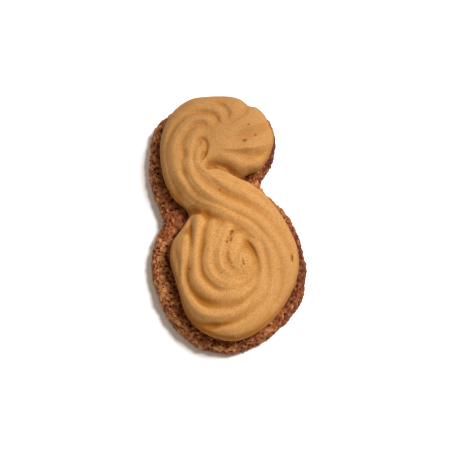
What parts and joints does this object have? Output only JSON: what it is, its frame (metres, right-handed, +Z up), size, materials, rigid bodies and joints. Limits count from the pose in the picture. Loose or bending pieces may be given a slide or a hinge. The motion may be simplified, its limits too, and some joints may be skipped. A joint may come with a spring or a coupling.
{
  "type": "s-shaped butter cookie",
  "caption": "Butter cookie in the shape of an S: a ribbed swirl of tan piped cream laid on a flat, coarse brown biscuit slab, to be served or stacked.",
  "frame": {"origin": "centre of the bounding box's bottom face, on the flat underside of the biscuit", "axes": "+Z up from the surface it lies on, +Y along the cookie towards the lobe with the free end, +X towards the side that the free end opens on"},
  "size_m": [0.0471, 0.0825, 0.0173],
  "materials": {
    "biscuit": "matte, coarse brown baked crumb",
    "cream": "matte tan cream with fine pores"
  },
  "bodies": {
    "root": {"biscuit_base": "biscuit", "piped_swirl": "cream"}
  },
  "joints": []
}
